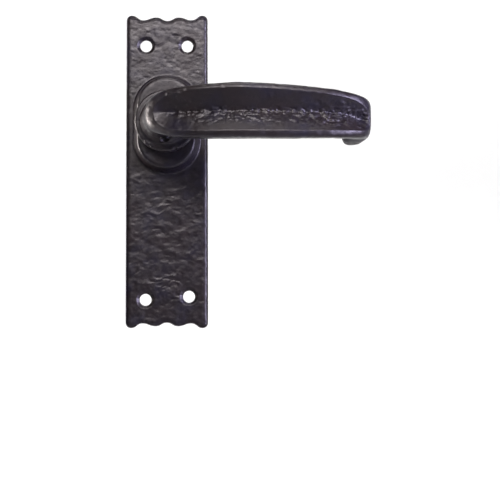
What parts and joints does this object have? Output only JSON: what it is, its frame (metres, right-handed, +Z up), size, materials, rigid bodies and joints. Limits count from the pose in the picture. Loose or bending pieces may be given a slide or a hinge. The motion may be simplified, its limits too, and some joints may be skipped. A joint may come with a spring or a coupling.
{
  "type": "door lever handle",
  "caption": "Sprung cast-iron door lever handle on a long scalloped backplate with four countersunk screw holes",
  "frame": {"origin": "centre of the backplate's rear face, on the surface of the door", "axes": "+Z up along the plate's length, +X towards the lever's tip, +Y into the door, so the handle stands out towards -Y"},
  "size_m": [0.1165, 0.0601, 0.152],
  "materials": {
    "black_cast_iron": "black lacquered, hammered, satin",
    "black_nylon": "moulded, matt",
    "zinc_plated_steel": "bright zinc plate",
    "spring_steel": "drawn, lightly oiled",
    "black_oxide_steel": "black oxide"
  },
  "bodies": {
    "plate": {"backplate": "black_cast_iron", "bearing_bush": "black_nylon", "return_spring": "spring_steel"},
    "lever": {"lever_handle": "black_cast_iron", "collar_washer": "zinc_plated_steel", "drive_cam": "zinc_plated_steel", "back_washer": "zinc_plated_steel", "retaining_clip": "spring_steel", "grub_screw": "black_oxide_steel"}
  },
  "joints": [
    {"name": "lever_turn", "type": "hinge", "parent": "plate", "child": "lever", "pos_m": [0, 0, 0.0225], "axis": [0, 1, 0], "range_deg": [0, 45], "stiffness_Nm_per_rad": 0.165, "springref_deg": -91.67, "deforming": ["return_spring"]}
  ]
}
